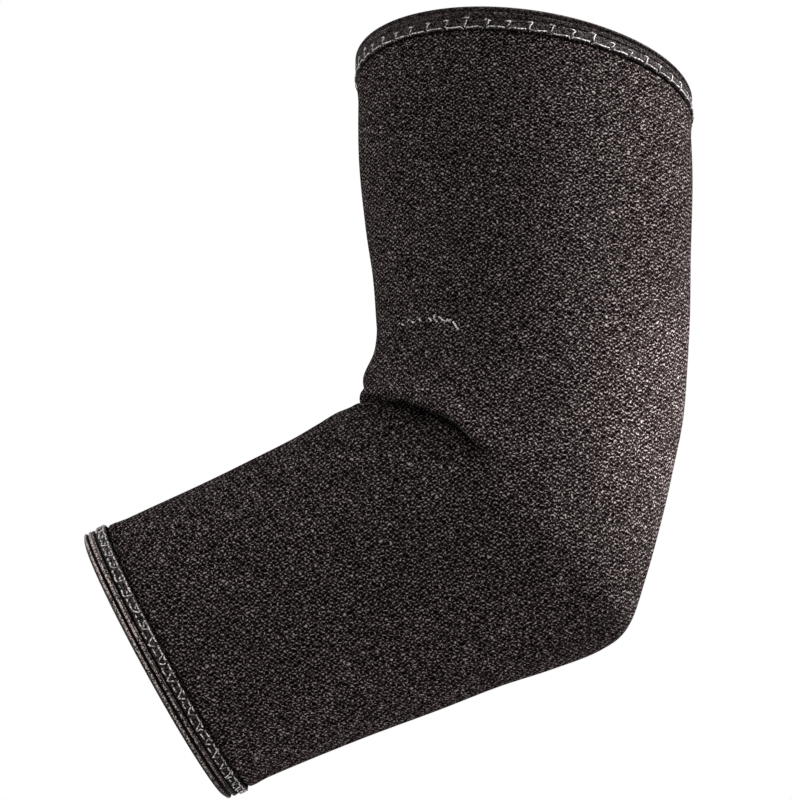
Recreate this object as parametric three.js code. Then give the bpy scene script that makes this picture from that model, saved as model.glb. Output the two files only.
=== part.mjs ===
// A pull-on elbow brace: a bent neoprene sleeve with a folded tape around each opening and a dart in the crook.
// Millimetres. The origin is the middle of the elbow, where the axes of the two arms meet.
// +Z runs up the upper arm, the forearm drops away towards -X, and the +Y and -Y sides are alike.

import * as THREE from 'three';

// Driving dimensions of the sleeve
const UPPER_LENGTH = 133; // elbow to the upper opening, along the inner side
const UPPER_WIDTH = 98; // across the upper opening, inner side to outer side
const UPPER_DEPTH = 98; // across the upper opening, side to side
const FOREARM_LENGTH = 118; // elbow to the forearm opening, along the inner side
const FOREARM_WIDTH = 82; // across the forearm opening, inner side to outer side
const FOREARM_DEPTH = 82; // across the forearm opening, side to side
const FOREARM_DROP = 23; // degrees that the forearm points below level
const WALL = 3; // thickness of the neoprene

// Fold in the crook of the elbow
const CREASE_DEPTH = 2.6; // how far the crease sinks
const CREASE_WIDTH = 7; // across the crease
const LIP_RISE = 1.3; // how far the cloth above the crease swells
const LIP_WIDTH = 15; // across the swelling
const FOLD_HALF_ANGLE = 92; // degrees round from the inner side at which the fold has faded out

// Folded tape
const TAPE_WIDTH = 6; // from the edge of the sleeve to the edge of the tape
const TAPE_THICKNESS = 1;
const TAPE_PROUD = 0.9; // how far the tape stands out from the neoprene
const RIB_GROOVE = 0.25; // depth of the grooves between the tape's ribs

// Dart
const DART_WIDTH = 2.6;
const DART_RISE = 0.8;
const DART_HALF_ANGLE = 72; // degrees round from the inner side at which the dart ends

const CLEARANCE = 0.3; // between pieces that touch

// Mesh density
const SEGMENTS_ROUND = 44;
const DART_STEPS = 22;

// Sections of the sleeve from the upper opening to the forearm opening.
// Each is measured in the frame of its own arm. The along columns are shares of that arm's length, the across columns
// are shares of half its width, negative towards the inner side of the bend, and depth is a share of half its depth.
const SECTIONS = [
  { arm: 'upper', innerAlong: 0.994, innerAcross: -0.985, outerAlong: 0.893, outerAcross: 0.966, depth: 1.0 },
  { arm: 'upper', innerAlong: 0.78, innerAcross: -0.985, outerAlong: 0.715, outerAcross: 0.975, depth: 0.965 },
  { arm: 'upper', innerAlong: 0.615, innerAcross: -0.945, outerAlong: 0.525, outerAcross: 0.95, depth: 0.93 },
  { arm: 'upper', innerAlong: 0.495, innerAcross: -0.9, outerAlong: 0.39, outerAcross: 0.935, depth: 0.92 },
  { arm: 'upper', innerAlong: 0.4, innerAcross: -0.88, outerAlong: 0.27, outerAcross: 0.91, depth: 0.92 },
  { arm: 'upper', innerAlong: 0.355, innerAcross: -0.875, outerAlong: 0.165, outerAcross: 0.88, depth: 0.92 },
  { arm: 'upper', innerAlong: 0.305, innerAcross: -0.895, outerAlong: 0.07, outerAcross: 0.825, depth: 0.92 },
  { arm: 'upper', innerAlong: 0.255, innerAcross: -0.95, outerAlong: -0.045, outerAcross: 0.75, depth: 0.92 },
  { arm: 'upper', innerAlong: 0.225, innerAcross: -0.94, outerAlong: -0.185, outerAcross: 0.64, depth: 0.92 },
  { arm: 'forearm', innerAlong: 0.305, innerAcross: -1.05, outerAlong: -0.08, outerAcross: 1.1, depth: 1.1 },
  { arm: 'forearm', innerAlong: 0.35, innerAcross: -1.05, outerAlong: 0.0, outerAcross: 1.165, depth: 1.085 },
  { arm: 'forearm', innerAlong: 0.4, innerAcross: -1.03, outerAlong: 0.12, outerAcross: 1.145, depth: 1.07 },
  { arm: 'forearm', innerAlong: 0.465, innerAcross: -1.01, outerAlong: 0.255, outerAcross: 1.1, depth: 1.05 },
  { arm: 'forearm', innerAlong: 0.56, innerAcross: -1.0, outerAlong: 0.405, outerAcross: 1.075, depth: 1.03 },
  { arm: 'forearm', innerAlong: 0.695, innerAcross: -0.99, outerAlong: 0.59, outerAcross: 1.035, depth: 1.01 },
  { arm: 'forearm', innerAlong: 0.845, innerAcross: -0.99, outerAlong: 0.775, outerAcross: 1.01, depth: 1.0 },
  { arm: 'forearm', innerAlong: 0.993, innerAcross: -0.985, outerAlong: 0.94, outerAcross: 1.0, depth: 1.0 },
];
const LAST_ROW = SECTIONS.length - 1;
const CREASE_ROW = 8.35;
const DART_ROW = 5.5; // where the dart ends
const DART_ARCH = 0.26; // rows that the dart climbs between its ends and the inner side

// Rings of the mesh, as rows of the table: closer together through the fold
const RING_STRETCHES = [
  { from: 1, to: 7, step: 0.5 },
  { from: 7.25, to: 9.5, step: 0.25 },
  { from: 10, to: 15, step: 0.5 },
];
const LINING_RING_STEP = 0.5;

// The tape's cross-section. In is the share of the tape's width measured in from the edge of the sleeve, and over
// is the share of the tape's proud height at which the outer face lies. Grooves separate three ribs.
const TAPE_FACE = [
  { in: 1.0, over: 0.3, groove: 0 },
  { in: 0.95, over: 1.0, groove: 0 },
  { in: 0.73, over: 1.0, groove: 0 },
  { in: 0.67, over: 1.0, groove: 1 },
  { in: 0.61, over: 1.0, groove: 0 },
  { in: 0.39, over: 1.0, groove: 0 },
  { in: 0.33, over: 1.0, groove: 1 },
  { in: 0.27, over: 1.0, groove: 0 },
  { in: 0.04, over: 1.0, groove: 0 },
];

const radians = THREE.MathUtils.degToRad;

// A point of the bend's middle plane, from its place along and across one arm
function armPoint(arm, along, across) {
  if (arm === 'upper') return new THREE.Vector3((across * UPPER_WIDTH) / 2, 0, along * UPPER_LENGTH);
  const drop = radians(FOREARM_DROP);
  const out = new THREE.Vector3(-Math.cos(drop), 0, -Math.sin(drop));
  const under = new THREE.Vector3(Math.sin(drop), 0, -Math.cos(drop));
  return out.multiplyScalar(along * FOREARM_LENGTH).addScaledVector(under, (across * FOREARM_WIDTH) / 2);
}

function curveThrough(pointOf) {
  return new THREE.CatmullRomCurve3(SECTIONS.map(pointOf), false, 'catmullrom', 0.5);
}

const innerEdge = curveThrough((row) => armPoint(row.arm, row.innerAlong, row.innerAcross));
const outerEdge = curveThrough((row) => armPoint(row.arm, row.outerAlong, row.outerAcross));
const sideways = curveThrough((row) => {
  const depth = row.arm === 'upper' ? UPPER_DEPTH : FOREARM_DEPTH;
  return new THREE.Vector3(0, (row.depth * depth) / 2, 0);
});

// The sleeve's skin before the fold: row counts down the table, turn is the angle round from the inner side
function skin(row, turn) {
  const share = THREE.MathUtils.clamp(row / LAST_ROW, 0, 1);
  const inner = innerEdge.getPoint(share);
  const outer = outerEdge.getPoint(share);
  const towardsInner = inner.clone().sub(outer).multiplyScalar(0.5);
  return inner
    .add(outer)
    .multiplyScalar(0.5)
    .addScaledVector(towardsInner, Math.cos(turn))
    .addScaledVector(sideways.getPoint(share), Math.sin(turn));
}

// Millimetres that the skin runs for each row, as a vector down the sleeve
function downSleeve(row, turn) {
  const reach = 0.1;
  const above = Math.max(row - reach, 0);
  const below = Math.min(row + reach, LAST_ROW);
  return skin(below, turn).sub(skin(above, turn)).divideScalar(below - above);
}

function outward(row, turn) {
  const reach = 0.02;
  const round = skin(row, turn + reach).sub(skin(row, turn - reach));
  return round.cross(downSleeve(row, turn)).normalize();
}

// A smooth hump: 1 in the middle, 0 from one half width away
function hump(distance, width) {
  const share = distance / (width / 2);
  return Math.max(0, 1 - share * share) ** 2;
}

// Height of the fold above the skin: the cloth swells into a lip over a crease
function fold(row, turn) {
  const angle = Math.abs(Math.atan2(Math.sin(turn), Math.cos(turn)));
  const fade = Math.max(0, Math.cos((angle / radians(FOLD_HALF_ANGLE)) * (Math.PI / 2)));
  const below = (row - CREASE_ROW) * downSleeve(CREASE_ROW, turn).length();
  const lip = LIP_RISE * hump(below + LIP_WIDTH / 2, LIP_WIDTH);
  return fade * (lip - CREASE_DEPTH * hump(below, CREASE_WIDTH));
}

// A point at a height over the folded skin, negative into the wall
function overSkin(row, turn, height) {
  return skin(row, turn).addScaledVector(outward(row, turn), fold(row, turn) + height);
}

// A point near an opening: a distance in from the sleeve's edge, negative beyond it, at a height over the skin
function nearEdge(edgeRow, distance, turn, height) {
  const down = downSleeve(edgeRow, turn);
  const inwards = edgeRow === 0 ? 1 : -1;
  if (distance >= 0) return overSkin(edgeRow + (inwards * distance) / down.length(), turn, height);
  return overSkin(edgeRow, turn, height).addScaledVector(down.normalize(), inwards * distance);
}

// A closed ring-shaped mesh, from a function that gives the closed cross-section at each turn
function ringSolid(sectionAt, faceOut) {
  const positions = [];
  const indices = [];
  let count = 0;
  for (let step = 0; step < SEGMENTS_ROUND; step++) {
    const section = sectionAt((step / SEGMENTS_ROUND) * 2 * Math.PI);
    count = section.length;
    section.forEach((point) => positions.push(...point.toArray()));
  }
  for (let step = 0; step < SEGMENTS_ROUND; step++) {
    const here = step * count;
    const next = ((step + 1) % SEGMENTS_ROUND) * count;
    for (let i = 0; i < count; i++) {
      const j = (i + 1) % count;
      const corners = [here + i, next + i, next + j, here + j];
      if (!faceOut) corners.reverse();
      indices.push(corners[0], corners[1], corners[2], corners[0], corners[2], corners[3]);
    }
  }
  return geometryFrom(positions, indices);
}

function geometryFrom(positions, indices) {
  const geometry = new THREE.BufferGeometry();
  geometry.setAttribute('position', new THREE.Float32BufferAttribute(positions, 3));
  geometry.setIndex(indices);
  geometry.computeVertexNormals();
  return geometry;
}

// The wall is pressed thinner under each tape, which leaves the clearance between the two
function sleeveBody() {
  const pressed = TAPE_THICKNESS - TAPE_PROUD + CLEARANCE;
  const pressedWidth = TAPE_WIDTH + CLEARANCE;
  const stepWidth = 1;
  const edgeRings = [
    { distance: 0, outer: -pressed, inner: pressed - WALL },
    { distance: pressedWidth, outer: -pressed, inner: pressed - WALL },
    { distance: pressedWidth + stepWidth, outer: 0, inner: -WALL },
  ];
  const outerRows = [];
  for (const { from, to, step } of RING_STRETCHES) {
    for (let row = from; row <= to; row += step) outerRows.push(row);
  }
  const innerRows = [];
  for (let row = outerRows[0]; row <= outerRows.at(-1); row += LINING_RING_STEP) innerRows.push(row);
  return ringSolid((turn) => {
    const outside = [
      ...edgeRings.map((ring) => nearEdge(0, ring.distance, turn, ring.outer)),
      ...outerRows.map((row) => overSkin(row, turn, 0)),
      ...edgeRings.toReversed().map((ring) => nearEdge(LAST_ROW, ring.distance, turn, ring.outer)),
    ];
    const inside = [
      ...edgeRings.map((ring) => nearEdge(0, ring.distance, turn, ring.inner)),
      ...innerRows.map((row) => overSkin(row, turn, -WALL)),
      ...edgeRings.toReversed().map((ring) => nearEdge(LAST_ROW, ring.distance, turn, ring.inner)),
    ];
    return [...outside, ...inside.reverse()];
  }, true);
}

// Tape folded over an edge of the sleeve: a ribbed outer leaf, a round nose and a plain inner leaf
function binding(edgeRow) {
  const underside = TAPE_PROUD - TAPE_THICKNESS;
  const innerFace = -WALL - TAPE_PROUD;
  const nose = CLEARANCE + TAPE_THICKNESS;
  const middle = -WALL / 2;
  const profile = [
    ...TAPE_FACE.map((p) => [p.in * TAPE_WIDTH, p.over * TAPE_PROUD - p.groove * RIB_GROOVE]),
    [-nose * 0.6, TAPE_PROUD * 0.5],
    [-nose, middle + WALL * 0.3],
    [-nose, middle - WALL * 0.3],
    [-nose * 0.6, innerFace + TAPE_PROUD * 0.5],
    [TAPE_FACE.at(-1).in * TAPE_WIDTH, innerFace],
    [TAPE_WIDTH, innerFace],
    [TAPE_WIDTH, innerFace + TAPE_THICKNESS],
    [-CLEARANCE, innerFace + TAPE_THICKNESS],
    [-CLEARANCE, underside],
    [TAPE_WIDTH, underside],
  ];
  const faceOut = edgeRow !== 0;
  return ringSolid((turn) => profile.map(([distance, height]) => nearEdge(edgeRow, distance, turn, height)), faceOut);
}

// The dart's raised seam: a low ridge that lies on the skin round the inner side
function dartSeam() {
  const half = DART_WIDTH / 2;
  const ridge = [
    [-half, 0],
    [-half * 0.6, 0.8],
    [0, 1],
    [half * 0.6, 0.8],
    [half, 0],
  ];
  const positions = [];
  const indices = [];
  for (let step = 0; step <= DART_STEPS; step++) {
    const share = (step / DART_STEPS) * 2 - 1;
    const turn = share * radians(DART_HALF_ANGLE);
    const row = DART_ROW - DART_ARCH * Math.sin(Math.PI * Math.abs(share) ** 3);
    const perMillimetre = 1 / downSleeve(row, turn).length();
    for (const [across, rise] of ridge) {
      const point = overSkin(row + across * perMillimetre, turn, CLEARANCE + rise * DART_RISE);
      positions.push(...point.toArray());
    }
  }
  const count = ridge.length;
  for (let step = 0; step < DART_STEPS; step++) {
    for (let i = 0; i < count; i++) {
      const j = (i + 1) % count;
      const [a, b, c, d] = [step * count + i, (step + 1) * count + i, (step + 1) * count + j, step * count + j];
      indices.push(a, b, c, a, c, d);
    }
  }
  for (let i = 1; i < count - 1; i++) {
    const end = DART_STEPS * count;
    indices.push(0, i, i + 1, end, end + i + 1, end + i);
  }
  return geometryFrom(positions, indices);
}

function piece(name, geometry, colour, roughness) {
  const mesh = new THREE.Mesh(geometry, new THREE.MeshStandardMaterial({ color: colour, roughness, metalness: 0 }));
  mesh.name = name;
  return mesh;
}

const brace = new THREE.Group();
brace.add(
  piece('sleeve_body', sleeveBody(), '#2b2626', 0.95),
  piece('upper_binding', binding(0), '#232021', 0.8),
  piece('forearm_binding', binding(LAST_ROW), '#232021', 0.8),
  piece('dart_seam', dartSeam(), '#393535', 0.8),
);

export default brace;
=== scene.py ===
"""Bent pull-on elbow brace of knit-faced neoprene, modelled around its packed frame.

Metres, in the frame's own axes: +Z runs up the upper arm and the forearm drops away towards -X.
A row counts down the table of sections, and a turn is an angle round the sleeve from the inner side of the
bend. The viewer's side of the sleeve has negative turns.
"""
import math

import bmesh
import bpy
import numpy as np
from bpy.props import FloatProperty, FloatVectorProperty, IntProperty, PointerProperty
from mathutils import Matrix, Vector


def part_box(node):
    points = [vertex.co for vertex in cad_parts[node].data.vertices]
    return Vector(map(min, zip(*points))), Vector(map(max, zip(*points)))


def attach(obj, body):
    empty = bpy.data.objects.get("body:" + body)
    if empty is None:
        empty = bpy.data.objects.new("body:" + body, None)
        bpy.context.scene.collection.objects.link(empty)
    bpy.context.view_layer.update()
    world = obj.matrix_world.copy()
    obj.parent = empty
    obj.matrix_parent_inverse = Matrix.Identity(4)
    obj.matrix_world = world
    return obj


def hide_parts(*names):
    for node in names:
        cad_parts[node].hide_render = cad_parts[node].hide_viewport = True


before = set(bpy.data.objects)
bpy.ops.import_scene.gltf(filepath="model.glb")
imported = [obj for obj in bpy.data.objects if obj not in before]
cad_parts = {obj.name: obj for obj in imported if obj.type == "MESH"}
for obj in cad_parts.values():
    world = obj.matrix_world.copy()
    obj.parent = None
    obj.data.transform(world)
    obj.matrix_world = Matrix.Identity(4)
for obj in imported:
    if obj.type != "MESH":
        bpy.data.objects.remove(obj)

bl_info = {
    "name": "Elbow Brace",
    "version": (1, 0, 0),
    "blender": (4, 5, 0),
    "location": "View3D > Sidebar > Elbow Brace",
    "description": "Builds a bent elbow brace with folded tapes, cover stitch, a stitched dart and a studio",
    "category": "Object",
}

MM = 0.001
BODY = "root"
PICTURE = (792, 800)  # width and height of the render, in pixels
SENSOR_WIDTH = 36  # of the camera, in the millimetres that Blender gives it in
FLOOR_REACH = 2.0  # from the floor's middle to each side
FRAME_TOLERANCE = 4 * MM  # how far the sleeve's box may lie off the frame's


def linear(hex_colour):
    """An sRGB hex colour as the linear red, green and blue that shaders take."""
    shares = [int(hex_colour[i : i + 2], 16) / 255 for i in (1, 3, 5)]
    return [s / 12.92 if s <= 0.04045 else ((s + 0.055) / 1.055) ** 2.4 for s in shares]


def length(name, description, default):
    return FloatProperty(name=name, description=description, default=default, subtype="DISTANCE",
                         unit="LENGTH", precision=5)


def angle(name, description, degrees):
    return FloatProperty(name=name, description=description, default=math.radians(degrees),
                         subtype="ANGLE", unit="ROTATION")


def colour(name, description, hex_colour):
    return FloatVectorProperty(name=name, description=description, default=linear(hex_colour),
                               subtype="COLOR", size=3, min=0, max=1)


class BraceSleeveSizes(bpy.types.PropertyGroup):
    """Sizes of the bent sleeve, as the frame has them"""

    upper_length: length("Upper length", "Elbow to the upper opening, along the inner side", 133 * MM)
    upper_width: length("Upper width", "Across the upper opening, inner side to outer side", 98 * MM)
    upper_depth: length("Upper depth", "Across the upper opening, side to side", 98 * MM)
    forearm_length: length("Forearm length", "Elbow to the forearm opening, along the inner side", 118 * MM)
    forearm_width: length("Forearm width", "Across the forearm opening, inner side to outer side", 82 * MM)
    forearm_depth: length("Forearm depth", "Across the forearm opening, side to side", 82 * MM)
    forearm_drop: angle("Forearm drop", "How far the forearm points below level", 23)
    wall: length("Wall", "Thickness of the neoprene", 3 * MM)
    cut_length: length("Cut length", "The sheet before it was sewn, along the arm", 240 * MM)
    cut_width: length("Cut width", "The sheet before it was sewn, around the arm", 290 * MM)


class BraceFoldSizes(bpy.types.PropertyGroup):
    """The fold in the crook and the pucker along the dart"""

    fold_strength: FloatProperty(name="Fold", description="Share of the measured fold", default=1.0,
                                 min=0, max=1.5)
    lining_dent: length("Lining dent", "How far the fold pushes the lining in", 2.4 * MM)
    lining_dent_width: length("Lining dent width", "Across that dent", 10 * MM)
    dart_sink: length("Dart sink", "How deep the dart's stitches pull the cloth in", 1.1 * MM)
    dart_sink_width: length("Dart sink width", "Across the pulled-in line", 3.4 * MM)
    dart_half_angle: angle("Dart half angle", "Turn from the inner side at which the dart ends", 72)
    dart_fade: length("Dart fade", "Length over which the pulled-in line fades out at its end", 5 * MM)
    pucker_rise: length("Pucker rise", "Height of the small gathers beside the dart", 0.35 * MM)
    pucker_pitch: length("Pucker pitch", "From one gather to the next", 3.3 * MM)
    pucker_reach: length("Pucker reach", "How far the gathers run from the dart", 5 * MM)
    welt_rise: length("Welt rise", "Height of the soft swelling below the dart", 0.55 * MM)
    welt_drop: length("Welt drop", "The dart's line to the middle of that swelling", 4.6 * MM)
    welt_width: length("Welt width", "Across that swelling", 9 * MM)
    dimple_depth: length("Dimple depth", "How deep the cloth sinks above each end of the dart", 1.3 * MM)
    dimple_back: length("Dimple back", "The dart's end back to the middle of that dimple", 6.5 * MM)
    dimple_climb: length("Dimple climb", "The dart's line up to the middle of that dimple", 2.9 * MM)
    dimple_width: length("Dimple width", "Across that dimple", 3.6 * MM)


class BraceTapeSizes(bpy.types.PropertyGroup):
    """The folded tape round each opening"""

    width: length("Tape width", "From the sleeve's edge to the tape's edge", 5.7 * MM)
    proud: length("Tape proud", "How far the tape stands out from the neoprene", 0.9 * MM)
    thickness: length("Tape thickness", "Thickness of one leaf", 1.0 * MM)
    clearance: length("Clearance", "Between the tape and the edge that it wraps", 0.3 * MM)


class BraceThreadSizes(bpy.types.PropertyGroup):
    """The cover stitch on the tapes and the threads of the dart"""

    gauge: length("Thread", "Diameter of the cover stitch's thread", 0.38 * MM)
    dart_gauge: length("Dart thread", "Diameter of the dart's thread", 0.5 * MM)
    upper_pitch: length("Upper pitch", "Length of one stitch on the upper tape", 6.0 * MM)
    forearm_pitch: length("Forearm pitch", "Length of one stitch on the forearm tape", 5.3 * MM)
    dart_pitch: length("Dart pitch", "Length of one loop of the dart", 2.6 * MM)
    seed: IntProperty(name="Seed", description="Picks the small unevenness of the stitches", default=11)


class BraceFinishes(bpy.types.PropertyGroup):
    """Colours and grain of the cloths"""

    fleck_period: length("Fleck period", "From one fleck of the knit face to the next", 1.0 * MM)
    yarn_width: length("Yarn width", "Across one yarn of the tape", 0.65 * MM)
    lint_width: length("Lint width", "Across one speck of lint on the tape", 0.42 * MM)
    ply_length: length("Ply length", "Lit length of one ply of the thread", 0.6 * MM)
    knit_dark: colour("Knit, dark", "Gaps between the yarns of the face", "#060303")
    knit_middle: colour("Knit, middle", "The yarns' shaded sides", "#1b1515")
    knit_light: colour("Knit, light", "The yarns' lit tops", "#3f3938")
    knit_bright: colour("Knit, bright", "The few brightest loops", "#938b8a")
    tape_dark: colour("Tape, dark", "Gaps between the tape's yarns", "#080606")
    # Painted highlight: the colour of the ribs' lit tops
    tape_painted_highlight: colour("Tape, light", "Tops of the tape's ribs", "#b5a8a4")
    thread_dark: colour("Thread, dark", "Between the plies of the thread", "#4c4848")
    thread_light: colour("Thread, light", "The plies' lit sides", "#cdc8c7")


class BraceStudio(bpy.types.PropertyGroup):
    """Camera, lights and floor"""

    azimuth: angle("Azimuth", "Camera's turn round the brace from straight ahead", 9)
    elevation: angle("Elevation", "Camera's height above level, negative from below", -20)
    distance: length("Distance", "Camera to its aim", 1.0)
    scale: length("Scale", "What one pixel covers at the aim", 0.283 * MM)
    aim_x: length("Aim X", "Point in the middle of the picture", -37.9 * MM)
    aim_z: length("Aim Z", "Point in the middle of the picture", 30.0 * MM)
    floor_drop: length("Floor drop", "Floor below the middle of the elbow", 450 * MM)
    surround: FloatProperty(name="Surround", description="Strength of the white room light", default=1.0,
                            min=0)
    key_power: FloatProperty(name="Key light", description="Power of the soft light from the right",
                             default=7.2, min=0, subtype="POWER", unit="POWER")
    edge_power: FloatProperty(name="Edge light", description="Power of the weak light from the left",
                              default=0.6, min=0, subtype="POWER", unit="POWER")


# Sections of the sleeve from the upper opening to the forearm opening, each in the frame of its own arm. The
# along columns are shares of that arm's length, the across columns are shares of half its width, negative
# towards the inner side of the bend, and depth is a share of half its depth.
SECTION_COLUMNS = ("arm", "inner_along", "inner_across", "outer_along", "outer_across", "depth")
SECTIONS = [
    ("upper", 0.994, -0.985, 0.893, 0.966, 1.0),
    ("upper", 0.78, -0.985, 0.715, 0.975, 0.965),
    ("upper", 0.615, -0.945, 0.525, 0.95, 0.93),
    ("upper", 0.495, -0.9, 0.39, 0.935, 0.92),
    ("upper", 0.4, -0.88, 0.27, 0.91, 0.92),
    ("upper", 0.355, -0.875, 0.165, 0.88, 0.92),
    ("upper", 0.305, -0.895, 0.07, 0.825, 0.92),
    ("upper", 0.255, -0.95, -0.045, 0.75, 0.92),
    ("upper", 0.225, -0.94, -0.185, 0.64, 0.92),
    ("forearm", 0.305, -1.05, -0.08, 1.1, 1.1),
    ("forearm", 0.35, -1.05, 0.0, 1.165, 1.085),
    ("forearm", 0.4, -1.03, 0.12, 1.145, 1.07),
    ("forearm", 0.465, -1.01, 0.255, 1.1, 1.05),
    ("forearm", 0.56, -1.0, 0.405, 1.075, 1.03),
    ("forearm", 0.695, -0.99, 0.59, 1.035, 1.01),
    ("forearm", 0.845, -0.99, 0.775, 1.01, 1.0),
    ("forearm", 0.993, -0.985, 0.94, 1.0, 1.0),
]
LAST_ROW = len(SECTIONS) - 1

# Where the crease runs: the row of the table at each turn, either side of the inner side
CREASE_PATH_COLUMNS = ("degrees", "row")
CREASE_PATH = [
    (0, 8.5), (20, 8.55), (38, 8.34), (53, 8.12), (65, 8.05), (78, 8.03), (88, 8.25), (105, 8.4), (130, 8.45),
]

# How strongly the fold shows, and how far its valley gapes, which also sets how strongly its painted shade
# shows, round the sleeve
FOLD_REACH_COLUMNS = ("degrees", "strength", "gape")
FOLD_REACH = [
    (0, 0.05, 0.0), (12, 0.2, 0.05), (26, 0.75, 0.2), (38, 1.0, 0.5), (50, 1.1, 0.9), (62, 1.1, 1.0),
    (74, 1.0, 0.9), (84, 0.85, 0.6), (92, 0.45, 0.3), (100, 0.12, 0.1), (110, 0.0, 0.0),
]

# The fold's cross-section in millimetres: below is measured down the sleeve from the crease, slide moves the
# cloth the same way so that the lip hangs over the valley, gaping is the height where the valley stands open,
# and shade is painted shade, the share by which the cloth's colour is darkened where the valley gapes,
# negative on the lip, where it is a painted highlight
FOLD_COLUMNS = ("below", "height", "slide", "gaping", "shade")
FOLD_PROFILE = [
    (-20.0, 0.0, 0.0, 0.0, 0.0),
    (-14.0, 0.2, 0.0, 0.2, -0.05),
    (-9.0, 0.7, 0.2, 0.8, -0.15),
    (-5.5, 1.2, 0.6, 1.4, -0.25),
    (-3.0, 1.5, 1.2, 1.7, -0.35),
    (-1.5, 1.1, 1.7, 1.4, -0.3),
    (-0.7, -0.3, 1.7, -0.2, 0.3),
    (0.0, -3.2, 0.9, -3.6, 0.75),
    (0.6, -2.4, 0.5, -3.8, 0.75),
    (1.6, -0.9, 0.2, -3.5, 0.6),
    (3.5, -0.2, 0.0, -2.9, 0.4),
    (7.0, 0.0, 0.0, -1.8, 0.2),
    (12.0, 0.0, 0.0, -0.7, 0.06),
    (19.0, 0.0, 0.0, 0.0, 0.0),
]

# The dart's line: the row of the table where it ends, and how far it climbs between an end and the inner side
DART_END_ROW = 5.45
DART_ARCH_ROWS = 0.16
DART_OVERRUN = 1.5  # millimetres that the pulled-in line runs on past the dart's end
DART_LINE_CLEAR = 2.0  # millimetres across the line that the gathers leave clear
WELT_GROWS = (8, 20)  # millimetres along the dart, from the inner side, between which its welt grows
DIMPLE_STRETCH = 1.6  # how much longer the dimples are along the dart than across it

# Height of the neoprene's face near each edge, in millimetres: pressed under the tape, with a narrow groove
# and then a slight swelling beside it
EDGE_COLUMNS = ("distance", "height")
EDGE_FACE = [
    (0.0, -0.4), (3.0, -0.4), (5.3, -0.4), (5.65, -0.9), (5.9, -1.3), (6.2, -0.6), (6.45, 0.1), (6.9, 0.35),
    (8.4, 0.35), (10.1, 0.15), (12.0, 0.0),
]

# Rings of the sleeve's mesh, as rows of the table: closer together along the dart and through the fold
RING_COLUMNS = ("start", "stop", "step")
RING_STRETCHES = [
    (0.6, 4.0, 1 / 12), (4.0, 6.1, 1 / 16), (6.1, 7.5, 1 / 12), (7.5, 7.95, 0.05), (7.95, 8.95, 0.025),
    (8.95, 9.8, 0.05), (9.8, 15.1, 1 / 10),
]
RINGS_BEND = 5.0  # rows over which the rings bend to follow the crease
LINING_RING_STEP = 0.2

# Outer face of the tape: distance in millimetres from the sleeve's edge, height as a share of its proud, and
# the painted rib light there, 1 for a painted highlight on a rib and 0 for painted shade in a groove
TAPE_COLUMNS = ("distance", "share", "satin")
TAPE_FACE = [
    (5.7, -0.25, 0.0), (5.72, 0.3, 0.0), (5.6, 0.7, 0.04), (5.3, 0.92, 0.08), (4.7, 1.0, 0.08),
    (4.1, 0.98, 0.08), (3.5, 0.98, 0.08), (3.0, 0.95, 0.08), (2.8, 0.85, 0.0), (2.6, 0.35, 0.0),
    (2.4, 0.35, 0.0), (2.25, 0.85, 0.05), (2.05, 0.98, 0.3), (1.85, 0.95, 0.2), (1.7, 0.85, 0.05),
    (1.55, 1.0, 0.8), (1.3, 1.12, 1.0), (1.05, 1.0, 0.8), (0.9, 0.7, 0.05), (0.75, 0.3, 0.0), (0.4, 0.3, 0.0),
    (0.15, 0.75, 0.05), (0.05, 0.95, 0.8), (-0.2, 1.1, 1.0), (-0.45, 0.95, 0.8), (-0.6, 0.75, 0.05),
]
NOSE_SWING = (28, -90, 8)  # degrees that the tape's round nose runs from and to, and in how many points
HIDDEN_RIB_LIGHT = 0.1  # painted rib light on the tape's nose and inner leaf
TAPE_RIB_SEGMENTS = 6  # segments round for each stitch
TAPE_MIDDLE = 4 * MM  # distance from the edge at which a tape's length is measured

# How the tapes are worked, in millimetres: how far, about which distance from the edge, and across what
# width. The stitches pull the tape's own edge, and its face puffs up between them. The ribs lie nearer the
# sleeve's edge on the inner side of the bend, and further from it opposite.
WORKED = {
    "edge": {"amount": 0.1, "about": 6.0, "across": 2.0},
    "ribs": {"amount": 0.35, "about": 1.0, "across": 5.0},
    "face": {"amount": 0.05, "about": 4.4, "across": 4.0},
}

# The tapes, and their painted rib light: the least anywhere, and the most on the inner and the outer side. It
# is a painted highlight, by far the strongest on the inner side of the forearm tape.
BINDING_COLUMNS = ("name", "node", "edge_row", "pitch", "least", "inner", "outer")
BINDINGS = [
    ("upper_tape", "upper_binding", 0, "upper_pitch", 0.05, 0.08, 0.055),
    ("forearm_tape", "forearm_binding", LAST_ROW, "forearm_pitch", 0.0, 1.1, 0.1),
]

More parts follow.
